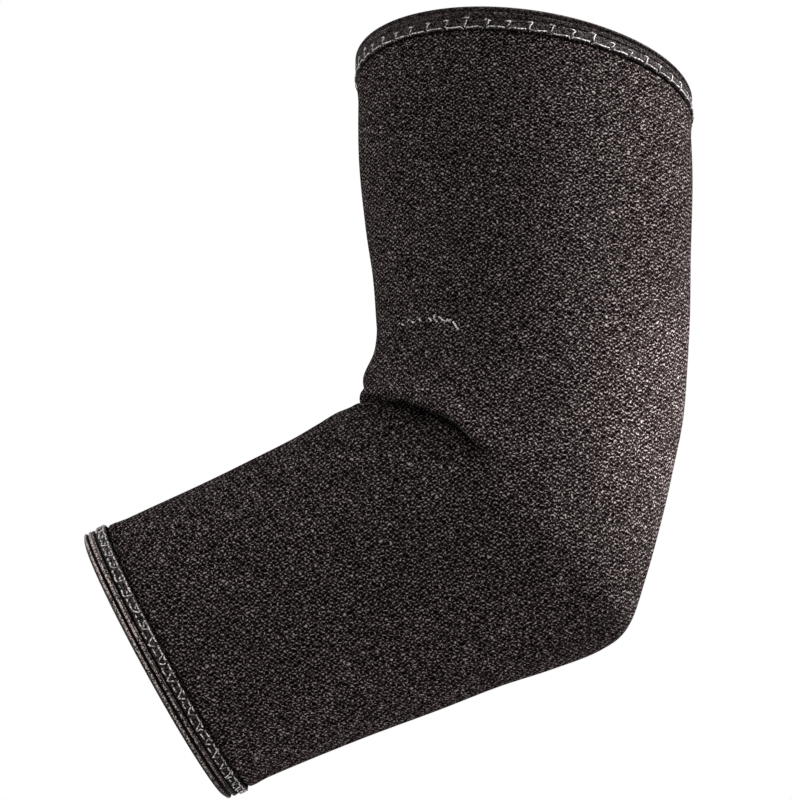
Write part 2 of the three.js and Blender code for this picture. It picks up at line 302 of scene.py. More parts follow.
# One cover stitch, as runs of thread: along is a share of the stitch, down the picture on the forearm tape
# and to the right on the upper one, distance is in millimetres from the edge, and over is the thread's height
# as a share of the tape's
STITCH_COLUMNS = ("along", "distance", "over")
UPPER_STITCH = [
    [(0.03, 5.8, 0.6), (0.08, 5.5, 1.12), (0.3, 5.48, 1.16), (0.6, 5.46, 1.16), (0.84, 5.44, 1.12),
     (0.9, 5.75, 0.5)],
    [(0.02, 5.4, 0.75), (0.05, 5.0, 1.12), (0.1, 4.0, 1.14), (0.16, 3.0, 1.12), (0.2, 2.6, 0.7)],
    [(0.24, 2.8, 0.7), (0.16, 2.6, 1.0), (0.02, 2.6, 1.0), (-0.1, 2.7, 0.7)],
]
FOREARM_INNER_STITCH = [
    [(0.4, 3.5, 0.7), (0.46, 3.25, 1.12), (0.66, 3.1, 1.16), (0.82, 3.1, 1.14), (0.9, 3.4, 1.14),
     (0.97, 4.2, 1.14), (1.03, 5.0, 1.12), (0.98, 5.15, 1.12), (0.8, 5.18, 1.12), (0.58, 5.1, 1.12),
     (0.52, 5.3, 0.6)],
    [(0.06, 3.4, 0.7), (0.12, 3.2, 1.0), (0.26, 3.2, 1.0), (0.32, 3.4, 0.7)],
    [(0.6, 4.7, 0.7), (0.66, 4.5, 1.05), (0.78, 4.2, 1.05), (0.82, 4.1, 0.7)],
    [(0.1, 5.4, 0.6), (0.15, 5.15, 1.1), (0.36, 5.15, 1.1), (0.41, 5.4, 0.6)],
]
FOREARM_OUTER_STITCH = [
    [(0.02, 5.4, 0.6), (0.06, 5.18, 1.12), (0.25, 5.16, 1.16), (0.42, 5.18, 1.12), (0.48, 5.4, 0.6)],
    [(0.56, 5.4, 0.6), (0.6, 5.18, 1.12), (0.75, 5.18, 1.15), (0.82, 5.3, 0.6)],
    [(0.5, 5.1, 0.75), (0.56, 4.7, 1.12), (0.66, 3.9, 1.15), (0.76, 3.2, 1.15), (0.82, 3.05, 1.12),
     (0.86, 3.4, 1.12), (0.93, 4.2, 1.12), (0.98, 4.9, 0.7)],
    [(0.05, 3.4, 0.7), (0.12, 3.25, 1.0), (0.35, 3.22, 1.05), (0.55, 3.4, 0.7)],
]

# The rows of cover stitch, with the stitches on the inner and on the outer side of the bend. A stitch reaches
# across the tape, from the line along which it is anchored, by a share of its table between least and most.
COVER_COLUMNS = ("name", "edge_row", "pitch", "inner", "outer", "least", "most")
COVERS = [
    ("upper_cover_stitch", 0, "upper_pitch", UPPER_STITCH, UPPER_STITCH, 0.6, 1.05),
    ("forearm_cover_stitch", LAST_ROW, "forearm_pitch", FOREARM_INNER_STITCH, FOREARM_OUTER_STITCH,
     0.8, 1.05),
]
INNER_STITCH_DEGREES = 95  # from the inner side, where the inner kind gives way to the outer one
STITCH_ANCHOR = 5.2  # millimetres from the edge
STITCH_SWAY = {"along": 0.025, "distance": 0.09, "over": 0.05}  # spread of each column, point by point

# One loop of the dart's thread: along is a share of the loop, across is in millimetres down the sleeve from
# the dart's line, and height is in millimetres over the skin
DART_LOOP_COLUMNS = ("along", "across", "height")
DART_LOOP = [(0.1, -0.7, -0.5), (0.2, -0.45, 0.1), (0.38, 0.0, 0.3), (0.56, 0.45, 0.1), (0.66, 0.7, -0.5)]
# Spread of a loop's points, and of whole loops, each in the unit of its column
DART_SWAY = {"along": 0.06, "height": 0.08, "loop along": 0.2, "loop across": 0.35}
DART_REACH = (-0.9, 1.3)  # least and most share of a loop's across, the other way over where negative
DART_SHOWN_FROM = 0.75  # share of the half line, from its middle, past which the loops lie on the cloth
DART_SUNK = 2.2  # millimetres that a loop short of that is sunk, for each whole share that it falls short by

# The knot at each end of the dart: short threads across and along the line, in millimetres back from the end
DART_KNOT_COLUMNS = ("back_from", "across_from", "back_to", "across_to")
DART_KNOT = [
    (-0.3, 1.3, 1.5, 0.2), (0.9, 0.5, 2.3, -0.5), (2.9, -0.1, 4.6, -0.6), (3.1, -0.7, 4.5, 0.0),
    (6.2, -0.5, 7.5, -0.8), (8.6, -1.4, 8.9, 0.1),
]
KNOT_RISE = 0.75  # millimetres that the middle of a knot's thread arches up
KNOT_SPAN = 1.3  # width of that arch, as a share of the thread's length
KNOT_SUNK = 0.15  # millimetres that the whole thread is sunk

# Painted light: the knit is drawn paler on the lit outer side of the elbow, where it is also stretched over
# the point, from a reach in to a core about a place
PAINTED_LIGHT_PLACE = (48 * MM, -12 * MM, 14 * MM)
PAINTED_LIGHT_REACH = 52 * MM
PAINTED_LIGHT_CORE = 15 * MM
PAINTED_LIGHT_GAIN = 1.75

# The knit's two sets of courses
COURSE_LEAN = 50  # degrees that each set leans from the arm, one each way
COURSE_BEND = 5.0  # radians of its phase by which noise bends a set, at most
COURSE_BEND_SCALE = 3.0  # makes the patches of that noise about as wide as a set's period
BAND_REPEAT = 2 * math.pi / 20  # a wave texture at scale 1 repeats its bands after this length

# The lamps: where each stands and how wide it is, and the studio's setting that holds its power
LAMP_COLUMNS = ("name", "at", "size", "power")
LAMPS = [
    ("key_light", (0.95, 0.0, 0.8), 0.8, "key_power"),
    ("edge_light", (-1.2, 0.25, 0.35), 0.6, "edge_power"),
]
LAMP_SPREAD = 50  # degrees


def named(table, columns):
    """The rows of a table, each with its values by column."""
    return [dict(zip(columns, row)) for row in table]


def column(table, columns, name):
    """One named column of a table, as numbers."""
    return np.array([row[columns.index(name)] for row in table], float)


def through(x, table, columns, across, up):
    """A smooth curve through two columns of a table, level past both ends."""
    xs = column(table, columns, across)
    ys = column(table, columns, up)
    slopes = np.gradient(ys, xs)
    slopes[[0, -1]] = 0
    x = np.clip(x, xs[0], xs[-1])
    i = np.clip(np.searchsorted(xs, x, side="right") - 1, 0, len(xs) - 2)
    step = xs[i + 1] - xs[i]
    t = (x - xs[i]) / step
    start = (1 + 2 * t) * (1 - t) ** 2 * ys[i] + t * (1 - t) ** 2 * step * slopes[i]
    end = t * t * (3 - 2 * t) * ys[i + 1] + t * t * (t - 1) * step * slopes[i + 1]
    return start + end


def hump(distance, width):
    """A smooth hump: 1 in the middle and 0 from one half width away."""
    share = distance / (width / 2)
    return np.maximum(0, 1 - share * share) ** 2


def size_of(vectors):
    return np.linalg.norm(vectors, axis=-1, keepdims=True)


class Sleeve:
    """The sleeve's skin, worked out from its sizes and the table of sections, as the frame's part is."""

    def __init__(self, sizes, folds):
        self.sizes = sizes
        self.folds = folds
        sections = named(SECTIONS, SECTION_COLUMNS)
        self.inner = np.array([self.arm_point(section, "inner") for section in sections])
        self.outer = np.array([self.arm_point(section, "outer") for section in sections])
        self.side = np.array([self.half_depth(section) for section in sections])

    def arm_point(self, section, edge):
        along = section[edge + "_along"]
        across = section[edge + "_across"]
        s = self.sizes
        if section["arm"] == "upper":
            return np.array([across * s.upper_width / 2, 0, along * s.upper_length])
        drop = s.forearm_drop
        out = np.array([-math.cos(drop), 0, -math.sin(drop)])
        under = np.array([math.sin(drop), 0, -math.cos(drop)])
        return out * along * s.forearm_length + under * across * s.forearm_width / 2

    def half_depth(self, section):
        depth = self.sizes.upper_depth if section["arm"] == "upper" else self.sizes.forearm_depth
        return np.array([0, section["depth"] * depth / 2, 0])

    def along_rows(self, points, row):
        """A uniform Catmull-Rom curve through one point for each row."""
        ends = np.vstack([2 * points[0] - points[1], points, 2 * points[-1] - points[-2]])
        start = np.clip(np.floor(row).astype(int), 0, LAST_ROW - 1)
        t = (row - start)[..., None]
        a, b, c, d = (ends[start + i] for i in range(4))
        leave = (c - a) / 2
        arrive = (d - b) / 2
        cubic = 2 * b - 2 * c + leave + arrive
        square = 3 * c - 3 * b - 2 * leave - arrive
        return cubic * t**3 + square * t**2 + leave * t + b

    def skin(self, row, turn):
        """The plain skin, without the fold."""
        row, turn = np.broadcast_arrays(np.clip(row, 0, LAST_ROW), turn)
        inner = self.along_rows(self.inner, row)
        outer = self.along_rows(self.outer, row)
        side = self.along_rows(self.side, row) * np.sin(turn)[..., None]
        return (inner + outer) / 2 + (inner - outer) / 2 * np.cos(turn)[..., None] + side

    def down(self, row, turn):
        """How far the skin runs down the sleeve for each row, as a vector."""
        above = np.clip(np.asarray(row) - 0.1, 0, LAST_ROW)
        below = np.clip(np.asarray(row) + 0.1, 0, LAST_ROW)
        rows = np.broadcast_to(below - above, np.broadcast(row, turn).shape)
        return (self.skin(below, turn) - self.skin(above, turn)) / rows[..., None]

    def outward(self, row, turn):
        around = self.skin(row, turn + 0.02) - self.skin(row, turn - 0.02)
        normal = np.cross(around, self.down(row, turn))
        return normal / size_of(normal)

    def dart_row(self, turn):
        share = np.clip(np.abs(turn) / self.folds.dart_half_angle, 0, 1)
        return DART_END_ROW - DART_ARCH_ROWS * np.sin(math.pi * share**3)

    def dart_run(self):
        """Turns along one half of the dart, and how far along its line each lies."""
        turns = np.linspace(0, self.folds.dart_half_angle, 200)
        points = self.skin(self.dart_row(turns), turns)
        return turns, np.concatenate([[0], np.cumsum(size_of(np.diff(points, axis=0)).ravel())])

    def below_crease(self, row, turn):
        """Millimetres down the sleeve from the crease."""
        crease = crease_row(turn)
        return (row - crease) * size_of(self.down(crease, turn))[..., 0] / MM

    def below_dart(self, row, turn):
        """Millimetres down the sleeve from the dart's line."""
        dart = self.dart_row(turn)
        return (row - dart) * size_of(self.down(dart, turn))[..., 0] / MM

    def relief(self, row, turn):
        """Height of the fold and the dart over the skin, and how far the cloth slides down the sleeve."""
        row, turn = np.broadcast_arrays(row, turn)
        strength = fold_reach(turn, "strength") * self.folds.fold_strength
        gape = fold_reach(turn, "gape")
        below = self.below_crease(row, turn)
        slide = strength * fold_profile(below, "slide") * MM
        closed = fold_profile(below, "height") * (1 - gape)
        height = strength * (closed + fold_profile(below, "gaping") * gape) * MM
        return height + self.dart_relief(row, turn), slide

    def fold_shade(self, row, turn):
        """Painted shade: the share by which the cloth's colour is darkened in the fold, negative where the
        lip gets a painted highlight.
        """
        return fold_reach(turn, "gape") * fold_profile(self.below_crease(row, turn), "shade")

    def dart_relief(self, row, turn):
        """Height of the dart's pulled-in line, gathers, welt and end dimples over the skin."""
        f = self.folds
        turns, run = self.dart_run()
        along = np.interp(np.abs(turn), turns, run) / MM
        end = run[-1] / MM
        across = self.below_dart(row, turn)
        fade = np.clip((end + DART_OVERRUN - along) / (f.dart_fade / MM), 0, 1)
        within = np.where(np.abs(turn) > f.dart_half_angle, 0.0, 1.0)
        line = -f.dart_sink * hump(across, f.dart_sink_width / MM)
        # The gathers are uneven along the line and lean a little across it
        uneven = 0.9 * np.sin(along * 0.61) + 0.25 * across
        gathers = np.cos(along * 2 * math.pi / (f.pucker_pitch / MM) + uneven)
        near = np.exp(-np.abs(across) / (f.pucker_reach / MM) * 2) * (1 - hump(across, DART_LINE_CLEAR))
        welt = f.welt_rise * hump(across - f.welt_drop / MM, f.welt_width / MM)
        welt = welt * np.interp(along, WELT_GROWS, (0, 1))
        past_dimple = (along - end + f.dimple_back / MM) / DIMPLE_STRETCH
        from_dimple = np.hypot(past_dimple, across + f.dimple_climb / MM)
        dimple = -f.dimple_depth * hump(from_dimple, f.dimple_width / MM)
        return (line + f.pucker_rise * gathers * near + welt) * fade * within + dimple

    def over_skin(self, row, turn, height):
        """A point over the folded skin."""
        rise, slide = self.relief(row, turn)
        down = self.down(row, turn)
        return (self.skin(row, turn) + self.outward(row, turn) * (rise + height)[..., None]
                + down / size_of(down) * slide[..., None])

    def lining(self, row, turn):
        """A point of the inner face, which follows the fold softly."""
        f = self.folds
        dent = f.lining_dent * hump(self.below_crease(row, turn), f.lining_dent_width / MM)
        dent = dent * fold_reach(turn, "strength")
        return self.skin(row, turn) - self.outward(row, turn) * (self.sizes.wall + dent)[..., None]

    def near_edge(self, edge_row, distance, turn, height):
        """A point near an opening, from its distance in from the sleeve's edge, negative beyond it."""
        distance, turn, height = np.broadcast_arrays(distance, turn, height)
        down = self.down(np.full(turn.shape, float(edge_row)), turn)
        inwards = 1 if edge_row == 0 else -1
        row = edge_row + inwards * np.maximum(distance, 0) / size_of(down)[..., 0]
        beyond = inwards * np.minimum(distance, 0)[..., None] * down / size_of(down)
        return self.skin(row, turn) + self.outward(row, turn) * height[..., None] + beyond

    def edge_rows(self, edge_row, distances, turn):
        """Rows of the table at distances in from the sleeve's edge."""
        down = size_of(self.down(np.full(turn.shape, float(edge_row)), turn))[..., 0]
        inwards = 1 if edge_row == 0 else -1
        return edge_row + inwards * distances[:, None] / down[None, :]

    def turn_along_edge(self, edge_row, distance):
        """Length of the tape's middle line, and a function from a place along it to a turn."""
        turns = np.linspace(0, -2 * math.pi, 721)
        points = self.near_edge(edge_row, distance, turns, 0.0)
        run = np.concatenate([[0], np.cumsum(size_of(np.diff(points, axis=0)).ravel())])
        return run[-1], lambda along: np.interp(along, run, turns)


def degrees_from_inner(turn):
    return np.degrees(np.abs(np.arctan2(np.sin(turn), np.cos(turn))))


def fold_reach(turn, name):
    return through(degrees_from_inner(turn), FOLD_REACH, FOLD_REACH_COLUMNS, "degrees", name)


def fold_profile(below, name):
    return through(below, FOLD_PROFILE, FOLD_COLUMNS, "below", name)


def crease_row(turn):
    return through(degrees_from_inner(turn), CREASE_PATH, CREASE_PATH_COLUMNS, "degrees", "row")


def the_sleeve():
    scene = bpy.context.scene
    return Sleeve(scene.brace_sleeve, scene.brace_folds)


def wrap_grid(points, attribute, values):
    """A grid wrapped into a closed ring of a closed section, with a point and an attribute's value for each
    place along the section and round the ring."""
    along, around = values.shape
    bm = bmesh.new()
    layer = bm.verts.layers.float.new(attribute)
    bm.loops.layers.uv.new("UVMap")
    bmesh.ops.create_grid(bm, x_segments=around, y_segments=along, size=0.5, calc_uvs=True)
    for vertex in bm.verts:
        place = (round((vertex.co.y + 0.5) * along) % along, round((vertex.co.x + 0.5) * around) % around)
        vertex[layer] = values[place]
        vertex.co = points[place]
    bmesh.ops.remove_doubles(bm, verts=bm.verts, dist=1e-6)
    bmesh.ops.recalc_face_normals(bm, faces=bm.faces)
    return bm


def piece_from(bm, name, material):
    """A mesh piece at the origin, with one material and smooth faces."""
    for face in bm.faces:
        face.smooth = True
    mesh = bpy.data.meshes.new(name)
    bm.to_mesh(mesh)
    bm.free()
    mesh.materials.append(material)
    piece = bpy.data.objects.new(name, mesh)
    bpy.context.collection.objects.link(piece)
    return piece


def add_node(tree, kind, settings=None, inputs=None, links=None, stops=None):
    """Add a node with its settings, its sockets' values, its incoming links and its colour stops."""
    node = tree.nodes.new(kind)
    for name, value in (settings or {}).items():
        setattr(node, name, value)
    for name, value in (inputs or {}).items():
        node.inputs[name].default_value = value
    for name, source in (links or {}).items():
        tree.links.new(source, node.inputs[name])
    for i, (place, tint) in enumerate(stops or []):
        element = node.color_ramp.elements[i] if i < 2 else node.color_ramp.elements.new(place)
        element.position = place
        element.color = (*tint, 1)
    return node


def new_material(name):
    material = bpy.data.materials.new(name)
    material.use_nodes = True
    material.node_tree.nodes.clear()
    return material


def knit_face():
    """Nylon jersey bonded to neoprene foam: a matt black face on which the loops' lit tops show as grey
    flecks where two sets of courses cross. It gives the eye an even salt-and-pepper grain, drawn paler as
    painted light on the elbow's lit outer side, where the knit is also stretched, black as painted shade down
    in the fold and lighter as a painted highlight on the fold's lip. Real loops are finer, too fine to show."""
    finish = bpy.context.scene.brace_finishes
    material = new_material("nylon_jersey_on_neoprene")
    tree = material.node_tree
    place = add_node(tree, "ShaderNodeTexCoord")
    courses = []
    for lean in (math.radians(COURSE_LEAN), -math.radians(COURSE_LEAN)):
        turned = add_node(tree, "ShaderNodeMapping", {"vector_type": "TEXTURE"},
                          {"Rotation": (0, lean, lean / 2)}, {"Vector": place.outputs["Object"]})
        wave = add_node(tree, "ShaderNodeTexWave", {"wave_type": "BANDS", "bands_direction": "X"},
                        {"Scale": BAND_REPEAT / finish.fleck_period, "Distortion": COURSE_BEND,
                         "Detail": 0.0, "Detail Scale": COURSE_BEND_SCALE},
                        {"Vector": turned.outputs["Vector"]})
        courses.append(wave.outputs["Fac"])
    loops = add_node(tree, "ShaderNodeMath", {"operation": "ADD"}, None, {0: courses[0], 1: courses[1]})
    fleck = add_node(tree, "ShaderNodeMapRange", None, {"From Min": 0.45, "From Max": 2.02},
                     {"Value": loops.outputs["Value"]})
    tint = add_node(tree, "ShaderNodeValToRGB", None, None, {"Fac": fleck.outputs["Result"]},
                    [(0.0, finish.knit_dark), (1.0, finish.knit_bright), (0.3, finish.knit_middle),
                     (0.78, finish.knit_light)])
    bump = add_node(tree, "ShaderNodeBump", None, {"Strength": 0.7, "Distance": 0.25 * MM},
                    {"Height": fleck.outputs["Result"]})
    # Painted light: the knit's colour is scaled up towards a place on the elbow's lit outer side, where the
    # knit is also stretched
    from_elbow = add_node(tree, "ShaderNodeVectorMath", {"operation": "DISTANCE"}, {1: PAINTED_LIGHT_PLACE},
                          {0: place.outputs["Object"]})
    stretch_and_painted_light = add_node(tree, "ShaderNodeMapRange", {"interpolation_type": "SMOOTHSTEP"},
                         {"From Min": PAINTED_LIGHT_REACH, "From Max": PAINTED_LIGHT_CORE, "To Min": 1.0,
                          "To Max": PAINTED_LIGHT_GAIN},
                         {"Value": from_elbow.outputs["Value"]})
    # Painted shade: this attribute darkens the knit's colour down in the crease, and lightens it as a painted
    # highlight on the lip
    folded = add_node(tree, "ShaderNodeAttribute", {"attribute_name": "folded"})
    unlit = add_node(tree, "ShaderNodeMath", {"operation": "SUBTRACT"}, {0: 1.0}, {1: folded.outputs["Fac"]})
    shown = add_node(tree, "ShaderNodeMath", {"operation": "MULTIPLY"}, None,
                     {0: stretch_and_painted_light.outputs["Result"], 1: unlit.outputs["Value"]})
    # The tint with the painted light on the elbow and the painted shade of the fold
    tint_with_painted_light = add_node(tree, "ShaderNodeVectorMath", {"operation": "SCALE"}, None,
                     {0: tint.outputs["Color"], "Scale": shown.outputs["Value"]})
    # The face's fine fuzz catches more light towards the outer side of the bend
    across = add_node(tree, "ShaderNodeSeparateXYZ", None, None, {"Vector": place.outputs["Object"]})
    fuzz = add_node(tree, "ShaderNodeMapRange", None,
                    {"From Min": -20 * MM, "From Max": 45 * MM, "To Min": 0.0005, "To Max": 0.003},
                    {"Value": across.outputs["X"]})
    shader = add_node(tree, "ShaderNodeBsdfPrincipled", None,
                      {"Roughness": 0.95, "IOR": 1.45, "Specular IOR Level": 0.0, "Sheen Roughness": 0.4},
                      {"Base Color": tint_with_painted_light.outputs["Vector"], "Sheen Weight": fuzz.outputs["Result"],
                       "Normal": bump.outputs["Normal"]})
    add_node(tree, "ShaderNodeOutputMaterial", None, None, {"Surface": shader.outputs["BSDF"]})
    return material


def ribbed_tape():
    """Woven stretch tape: black polyester with a slight satin. The ribs' tops are drawn as broken grey lines,
    a painted highlight, and the grooves between them are drawn black without speckle, a painted shade."""
    finish = bpy.context.scene.brace_finishes
    material = new_material("woven_stretch_tape")
    tree = material.node_tree
    place = add_node(tree, "ShaderNodeTexCoord")
    yarns = add_node(tree, "ShaderNodeTexNoise", None, {"Scale": 1 / finish.yarn_width, "Detail": 1.0},
                     {"Vector": place.outputs["Object"]})
    lit = add_node(tree, "ShaderNodeMapRange", {"interpolation_type": "SMOOTHSTEP"},
                   {"From Min": 0.4, "From Max": 0.62}, {"Value": yarns.outputs["Fac"]})
    lint = add_node(tree, "ShaderNodeTexNoise", None, {"Scale": 1 / finish.lint_width, "Detail": 0.0},
                    {"Vector": place.outputs["Object"]})
    specks = add_node(tree, "ShaderNodeMapRange", None, {"From Min": 0.55, "From Max": 0.75, "To Max": 4.0},
                      {"Value": lint.outputs["Fac"]})
    speckled = add_node(tree, "ShaderNodeMath", {"operation": "ADD"}, None,
                        {0: lit.outputs["Result"], 1: specks.outputs["Result"]})
    # Painted light on the tape: a painted highlight on the ribs' tops, brightest on the forearm tape's inner
    # side, and painted shade in the grooves
    satin = add_node(tree, "ShaderNodeAttribute", {"attribute_name": "satin"})
    shown = add_node(tree, "ShaderNodeMath", {"operation": "MULTIPLY"}, None,
                     {0: speckled.outputs["Value"], 1: satin.outputs["Fac"]})
    tint = add_node(tree, "ShaderNodeValToRGB", None, None, {"Fac": shown.outputs["Value"]},
                    [(0.0, finish.tape_dark), (1.0, finish.tape_painted_highlight)])
    bump = add_node(tree, "ShaderNodeBump", None, {"Strength": 0.6, "Distance": 0.15 * MM},
                    {"Height": lit.outputs["Result"]})
    shader = add_node(tree, "ShaderNodeBsdfPrincipled", None,
                      {"Roughness": 0.7, "IOR": 1.5, "Specular IOR Level": 0.02, "Sheen Weight": 0.004,
                       "Sheen Roughness": 0.4},
                      {"Base Color": tint.outputs["Color"], "Normal": bump.outputs["Normal"]})
    add_node(tree, "ShaderNodeOutputMaterial", None, None, {"Surface": shader.outputs["BSDF"]})
    return material


def sewing_thread():
    """Twisted polyester sewing thread: light grey plies with a slight sheen, which stand out from the cloth.
    It is made once, for every row of stitches."""
    finish = bpy.context.scene.brace_finishes
    name = "twisted_polyester_thread"
    if name in bpy.data.materials:
        return bpy.data.materials[name]
    material = new_material(name)
    tree = material.node_tree
    place = add_node(tree, "ShaderNodeTexCoord")
    plies = add_node(tree, "ShaderNodeTexNoise", None, {"Scale": 1 / finish.ply_length, "Detail": 1.0},
                     {"Vector": place.outputs["Object"]})
    lit = add_node(tree, "ShaderNodeMapRange", {"interpolation_type": "SMOOTHSTEP"},
                   {"From Min": 0.4, "From Max": 0.64}, {"Value": plies.outputs["Fac"]})
    tint = add_node(tree, "ShaderNodeValToRGB", None, None, {"Fac": lit.outputs["Result"]},
                    [(0.0, finish.thread_dark), (1.0, finish.thread_light)])
    bump = add_node(tree, "ShaderNodeBump", None, {"Strength": 0.4, "Distance": 0.08 * MM},
                    {"Height": lit.outputs["Result"]})
    shader = add_node(tree, "ShaderNodeBsdfPrincipled", None,
                      {"Roughness": 0.5, "IOR": 1.5, "Specular IOR Level": 0.35, "Sheen Weight": 0.1},
                      {"Base Color": tint.outputs["Color"], "Normal": bump.outputs["Normal"]})
    add_node(tree, "ShaderNodeOutputMaterial", None, None, {"Surface": shader.outputs["BSDF"]})
    return material


class BRACE_OT_sleeve(bpy.types.Operator):
    """Model the bent neoprene sleeve, with its fold, its lining and the pucker along the dart"""

    bl_idname = "brace.sleeve"
    bl_label = "Neoprene sleeve"

    segments: IntProperty(name="Segments", description="Segments round the sleeve", default=230, min=24)
    crowding: FloatProperty(name="Crowding", description="How much closer segments lie on the inner side",
                            default=0.4, min=0, max=0.8)

    def execute(self, context):
        points, shade = self.loop_of_rings(the_sleeve())
        piece = piece_from(wrap_grid(points, "folded", shade), "neoprene_sleeve", knit_face())
        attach(piece, BODY)
        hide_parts("sleeve_body")
        self.compare_with_frame(piece)
        return {"FINISHED"}

    def loop_of_rings(self, sleeve):
        """Rings down the outer face and back up the lining, with a point and its painted shade for every
        segment.
        """
        share = np.arange(self.segments) / self.segments
        turn = 2 * math.pi * share - self.crowding * np.sin(2 * math.pi * share)
        distances = column(EDGE_FACE, EDGE_COLUMNS, "distance") * MM
        heights = column(EDGE_FACE, EDGE_COLUMNS, "height") * MM
        rows = np.concatenate([
            np.arange(stretch["start"], stretch["stop"] - stretch["step"] / 2, stretch["step"])
            for stretch in named(RING_STRETCHES, RING_COLUMNS)
        ])
        follow = hump(rows - crease_row(0), RINGS_BEND)
        middle = rows[:, None] + (crease_row(turn)[None, :] - crease_row(0)) * follow[:, None]
        level = np.zeros(middle.shape)
        flat = np.repeat(heights[:, None], self.segments, axis=1)
        outer_rows = np.vstack([sleeve.edge_rows(0, distances, turn), middle,
                                sleeve.edge_rows(LAST_ROW, distances, turn)[::-1]])
        outer = sleeve.over_skin(outer_rows, turn[None, :], np.vstack([flat, level, flat[::-1]]))
        lining_rows = np.arange(0, LAST_ROW + LINING_RING_STEP / 2, LINING_RING_STEP)[::-1]
        inner_rows = np.repeat(lining_rows[:, None], self.segments, axis=1)
        inner = sleeve.lining(inner_rows, np.repeat(turn[None, :], len(lining_rows), axis=0))
        # The fold's painted shade, on the outer face only; the lining gets none
        shade = np.concatenate([sleeve.fold_shade(outer_rows, turn[None, :]), np.zeros(inner_rows.shape)])
        return np.concatenate([outer, inner]), shade

    def compare_with_frame(self, piece):
        """Stops if the sleeve isn't the size that the frame has."""
        low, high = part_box("sleeve_body")
        corners = np.array([v.co for v in piece.data.vertices])
        away = max(np.abs(corners.min(0) - low).max(), np.abs(corners.max(0) - high).max())
        if away > FRAME_TOLERANCE:
            raise RuntimeError(f"the sleeve is {away / MM:.1f} mm off the frame's sleeve_body")


class BRACE_OT_tapes(bpy.types.Operator):
    """Fold a ribbed tape round each opening"""

    bl_idname = "brace.tapes"
    bl_label = "Folded tapes"

    def execute(self, context):
        material = ribbed_tape()
        for binding in named(BINDINGS, BINDING_COLUMNS):
            piece = self.fold_tape(binding, material)
            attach(piece, BODY)
            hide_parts(binding["node"])
        return {"FINISHED"}

    def fold_tape(self, binding, material):
        """A ribbed outer leaf, a round nose over the edge and a plain inner leaf, as one closed section."""
        sleeve = the_sleeve()
        edge_row = binding["edge_row"]
        around, turn_at = sleeve.turn_along_edge(edge_row, TAPE_MIDDLE)
        stitches = round(around / getattr(bpy.context.scene.brace_threads, binding["pitch"]))
        segments = stitches * TAPE_RIB_SEGMENTS
        along = np.arange(segments) / segments * around
        turn = turn_at(along)
        distance, height, satin = self.section(sleeve.sizes.wall)
        stitch = np.cos(2 * math.pi * along / around * stitches)
        outside = (height > 0)[:, None]
        pull = self.worked("edge", distance) * stitch - self.worked("ribs", distance) * outside * np.cos(turn)
        puff = self.worked("face", distance) * outside * stitch
        points = sleeve.near_edge(edge_row, distance[:, None] + pull, turn[None, :], height[:, None] + puff)
        # The painted rib light is brighter on the side of each tape that catches more light
        most = np.interp(degrees_from_inner(turn), (0, 180), (binding["inner"], binding["outer"]))
        shown = np.clip(satin[:, None] * most, binding["least"], most)
        return piece_from(wrap_grid(points, "satin", shown), binding["name"], material)

    def worked(self, name, distance):
        """How far the tape is worked at distances from the edge, as a column."""
        work = WORKED[name]
        return work["amount"] * MM * hump(distance / MM - work["about"], work["across"])[:, None]

    def section(self, wall):
        """Distances in from the sleeve's edge and heights over the skin, round the tape's closed section."""
        tape = bpy.context.scene.brace_tapes
        outer_distance = column(TAPE_FACE, TAPE_COLUMNS, "distance") * MM
        outer_height = column(TAPE_FACE, TAPE_COLUMNS, "share") * tape.proud
        inner_face = -wall - tape.proud
        bevel = 0.3 * MM
        draft = 0.1 * MM
        nose = tape.clearance + tape.thickness
        outer_rib_light = column(TAPE_FACE, TAPE_COLUMNS, "satin")
        swing = np.radians(np.linspace(*NOSE_SWING))
        nose_distance = -nose * np.cos(swing)
        nose_height = -wall / 2 + (tape.proud + wall / 2) * np.sin(swing)
        leaf = tape.proud - tape.thickness
        inside = np.array([
            (tape.width - bevel, inner_face),
            (tape.width, inner_face + tape.thickness / 2),
            (tape.width - draft, inner_face + tape.thickness),
            (-tape.clearance, inner_face + tape.thickness),
            (-tape.clearance, leaf),
            (tape.width - draft, leaf),
        ])
        distance = np.concatenate([outer_distance, nose_distance, inside[:, 0]])
        height = np.concatenate([outer_height, nose_height, inside[:, 1]])
        satin = np.concatenate([outer_rib_light, np.full(len(nose_distance) + len(inside), HIDDEN_RIB_LIGHT)])
        return distance, height, satin


def sew(name, runs, gauge, replaces=None):
    """Threads as round curves made into one mesh, a spline for each run of points."""
    curve = bpy.data.curves.new(name, "CURVE")
    curve.dimensions = "3D"
    curve.bevel_depth = gauge / 2
    curve.bevel_resolution = 1
    curve.use_fill_caps = True
    for points in runs:
        spline = curve.splines.new("POLY")
        spline.points.add(len(points) - 1)
        spline.points.foreach_set("co", np.c_[points, np.ones(len(points))].ravel())
    holder = bpy.data.objects.new(name + "_curve", curve)
    bpy.context.collection.objects.link(holder)
    depsgraph = bpy.context.evaluated_depsgraph_get()
    bm = bmesh.new()
    bm.from_mesh(holder.evaluated_get(depsgraph).to_mesh())
    bpy.data.objects.remove(holder)
    bpy.data.curves.remove(curve)
    bmesh.ops.remove_doubles(bm, verts=bm.verts, dist=1e-7)
    piece = piece_from(bm, name, sewing_thread())
    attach(piece, BODY)
    if replaces:
        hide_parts(replaces)
    return piece


